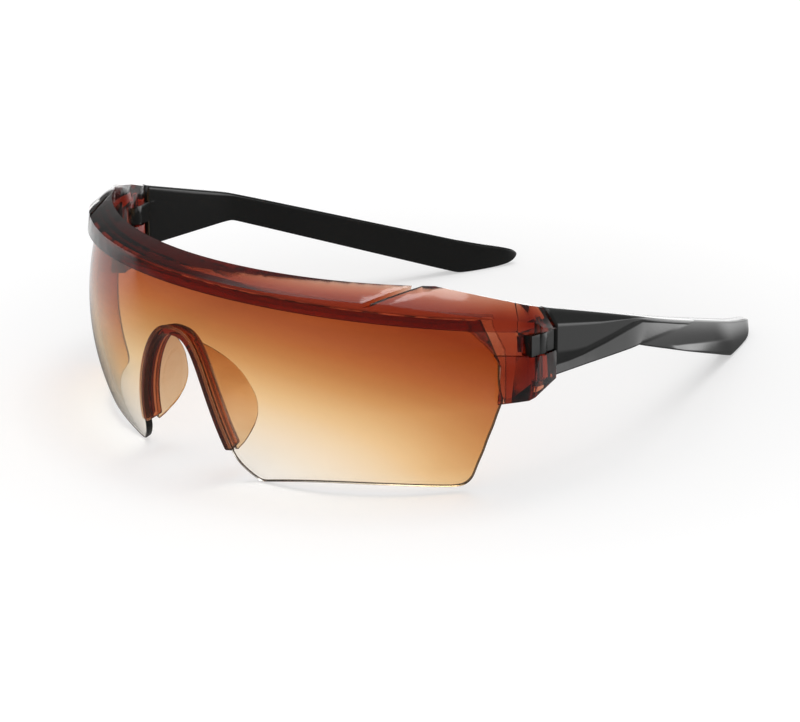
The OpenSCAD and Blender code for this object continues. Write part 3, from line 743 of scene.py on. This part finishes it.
buildTemple(1, "facetedTempleLeft", "left_arm", "temple_left")
buildTongue(1, "hingeTongueLeft", "left_arm")
buildTemple(-1, "facetedTempleRight", "right_arm", "temple_right")
buildTongue(-1, "hingeTongueRight", "right_arm")
print("stage: temples")

# white surroundings and soft light
studio = {
    "dim": 0.24, "bright": 3.0,   # strength of the surroundings in front, and at the window behind
    "window": (0.35, 0.94, 0.0),   # toward the middle of the window, low behind on the right
    "windowEdge": 0.72, "windowTop": (0.36, 0.1),   # where the window starts, and its soft upper end
    "zenith": 1.2, "zenithFrom": (0.78, 0.96),   # added strength overhead
    "overhead": 1.6, "overheadWide": 0.42, "overheadDeep": 0.28, "overheadPlace": (0.09, 0.16, 0.88),
    "fill": 1.0, "fillWide": 0.5, "fillDeep": 0.5, "fillPlace": (0.25, -0.55, 0.35),
    "turnedBack": -0.4,   # loss for each turn that a ray takes inside an edge
    "floor": "#bcbcbc", "lift": 0.52, "liftFar": 0.85, "liftRange": (0.08, 0.3),   # metres from the middle
    # painted reflection: how bright the table glows in reflections, with painted shade near the object,
    # brighter away from it, and painted light behind the tips
    "paintedShadeNear": 0.16, "paintedBrightFar": 0.92, "mirrorRange": (0.076, 0.14), "mirrorToward": (-0.35, 0.94, 0),
    "mirrorSide": (-0.13, -0.01), "paintedLightBehind": 1.0, "behindRange": (0.08, 0.1),
}


def whiteRays(tree):
    # 1 for rays from the camera and for those seen straight through plastic, less for rays turned back
    # inside an edge, which stays dark as a polished edge does, and 0 for light on the object
    path = addNode(tree, "ShaderNodeLightPath").outputs
    turned = calculate(tree, "MULTIPLY_ADD", path["Glossy Depth"], studio["turnedBack"], 1.0, clamp=True)
    through = calculate(tree, "MULTIPLY", path["Is Transmission Ray"], turned)
    return calculate(tree, "MAXIMUM", path["Is Camera Ray"], through)


def makeSurroundings(s):
    world = bpy.data.worlds.new("studio")
    bpy.context.scene.world = world
    world.use_nodes = True
    t = world.node_tree
    t.nodes.clear()
    place = placeOf(t, "Generated")
    axis = axesOf(t, place)
    toward = between(t, reachAlong(t, place, s["window"]), s["windowEdge"], 1.0, soft=True)
    lowDown = between(t, axis["Z"], *s["windowTop"], soft=True)
    pane = calculate(t, "MULTIPLY", toward, lowDown)
    window = between(t, pane, 0.0, 1.0, s["dim"], s["bright"])
    above = between(t, axis["Z"], *s["zenithFrom"], 0.0, s["zenith"], soft=True)
    level = addNode(t, "ShaderNodeMix", {3: 1.0}, {0: whiteRays(t), 2: calculate(t, "ADD", window, above)})
    bg = addNode(t, "ShaderNodeBackground", {"Color": (1, 1, 1, 1)}, {"Strength": level.outputs[0]})
    addNode(t, "ShaderNodeOutputWorld", links={"Surface": bg.outputs[0]})


def makeSoftbox(s, name):
    data = bpy.data.lights.new(name + "Softbox", "AREA")
    data.shape = "RECTANGLE"
    data.size, data.size_y = s[name + "Wide"], s[name + "Deep"]
    data.energy = s[name]
    lamp = bpy.data.objects.new(name + "Softbox", data)
    bpy.context.scene.collection.objects.link(lamp)
    lamp.location = s[name + "Place"]
    lamp.rotation_euler = (-Vector(s[name + "Place"])).to_track_quat("-Z", "Y").to_euler()
    lamp.visible_glossy = name == "overhead"   # the fill would show as a pale patch in the lens


def makeTable(s):
    mesh = bpy.data.meshes.new("floor")
    mesh.from_pydata([(-3, -3, 0), (3, -3, 0), (3, 3, 0), (-3, 3, 0)], [], [(0, 1, 2, 3)])
    floor = bpy.data.objects.new("floor", mesh)
    bpy.context.scene.collection.objects.link(floor)
    m, t = newMaterial("whiteTablePaintedReflections")
    matte = addNode(t, "ShaderNodeBsdfDiffuse", {"Color": linear(s["floor"])})
    place = placeOf(t)
    axis = axesOf(t, place)
    away = addNode(t, "ShaderNodeVectorMath", links={0: place}, operation="LENGTH").outputs["Value"]
    lift = calculate(t, "MULTIPLY", whiteRays(t), between(t, away, *s["liftRange"], s["lift"], s["liftFar"]))
    glow = addNode(t, "ShaderNodeEmission", {"Color": (1, 1, 1, 1)}, {"Strength": lift})
    both = addNode(t, "ShaderNodeAddShader", links={0: matte.outputs[0], 1: glow.outputs[0]})
    # painted reflection: in reflections the table glows dark close to the object, as painted shade of the
    # object on it, and dark in front, away from the window
    far = between(t, away, *s["mirrorRange"], soft=True)
    side = between(t, reachAlong(t, place, s["mirrorToward"]), *s["mirrorSide"], soft=True)
    shade = between(t, calculate(t, "MULTIPLY", far, side), 0.0, 1.0, s["paintedShadeNear"], s["paintedBrightFar"])
    # painted light: the reflected table is brighter behind the tips
    behind = between(t, axis["Y"], *s["behindRange"], 0.0, s["paintedLightBehind"], soft=True)
    # painted reflection: a glow seen only in reflections, in place of the lit matte table
    paintedMirrorGlow = addNode(t, "ShaderNodeEmission", {"Color": (1, 1, 1, 1)},
                       {"Strength": calculate(t, "ADD", shade, behind)})
    path = addNode(t, "ShaderNodeLightPath").outputs   # a ray through satin plastic counts as glossy too
    bounced = calculate(t, "SUBTRACT", path["Is Glossy Ray"], path["Is Transmission Ray"], clamp=True)
    pick = addNode(t, "ShaderNodeMixShader", links={0: bounced, 1: both.outputs[0], 2: paintedMirrorGlow.outputs[0]})
    addNode(t, "ShaderNodeOutputMaterial", links={"Surface": pick.outputs[0]})
    mesh.materials.append(m)


makeSurroundings(studio)
makeSoftbox(studio, "overhead")
makeSoftbox(studio, "fill")
makeTable(studio)
print("stage: studio")
